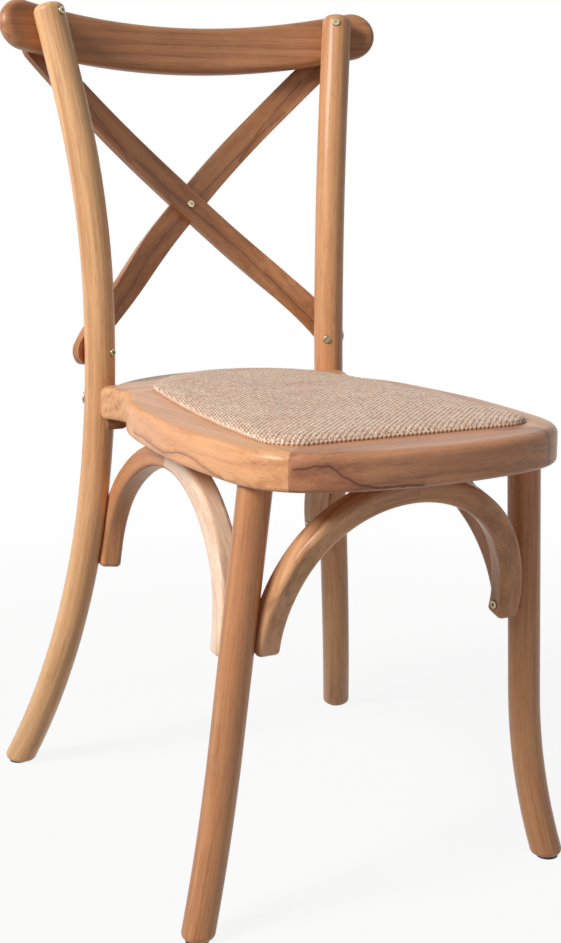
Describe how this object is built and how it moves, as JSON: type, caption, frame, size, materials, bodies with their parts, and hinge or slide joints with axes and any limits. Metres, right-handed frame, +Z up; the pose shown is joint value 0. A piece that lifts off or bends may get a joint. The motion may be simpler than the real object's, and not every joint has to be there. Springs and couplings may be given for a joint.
{
  "type": "cross back chair",
  "caption": "Wooden cross back dining chair: bent round posts, bowed crest rail, crossed slats, woven seat in a wood frame and arched hoops under the seat.",
  "frame": {"origin": "on the floor, at the bottom centre of the chair's box", "axes": "+Z up, the chair faces -Y, +X is to the right seen from the front"},
  "size_m": [0.4716, 0.6178, 0.8881],
  "materials": {
    "bent_wood": "satin lacquer over honey brown bent wood",
    "back_wood": "satin lacquer over honey brown wood",
    "seat_wood": "satin lacquer over honey brown wood with long grain",
    "hoop_wood": "satin lacquer over warm brown bent wood",
    "block_wood": "bare wood, dark with glue and shade",
    "board": "raw plywood",
    "padding": "soft foam sheet",
    "cane": "tight natural cane weave, dull sheen",
    "screw_metal": "plated socket screws",
    "glide": "dark matt"
  },
  "bodies": {
    "root": {"rear_post_right": "bent_wood", "rear_post_left": "bent_wood", "front_leg_right": "bent_wood", "front_leg_left": "bent_wood", "crest_rail": "back_wood", "cross_slat_front": "back_wood", "cross_slat_back": "back_wood", "seat_front_rail": "seat_wood", "seat_right_rail": "seat_wood", "seat_left_rail": "seat_wood", "seat_rear_rail": "seat_wood", "seat_board": "board", "seat_padding": "padding", "woven_mat": "cane", "front_hoop_right_half": "hoop_wood", "front_hoop_left_half": "hoop_wood", "right_hoop_front_half": "hoop_wood", "right_hoop_rear_half": "hoop_wood", "left_hoop_front_half": "hoop_wood", "left_hoop_rear_half": "hoop_wood", "hoop_spacers": "hoop_wood", "corner_block_right": "block_wood", "corner_block_left": "block_wood", "rail_dowels": "block_wood", "post_bolts": "screw_metal", "crest_rail_screws": "screw_metal", "slat_post_screws": "screw_metal", "slat_rail_screws": "screw_metal", "slat_cross_screw": "screw_metal", "hoop_leg_screws": "screw_metal", "hoop_seat_screws": "screw_metal", "corner_block_screws": "screw_metal", "seat_board_screws": "screw_metal", "foot_glides": "glide"}
  },
  "joints": []
}
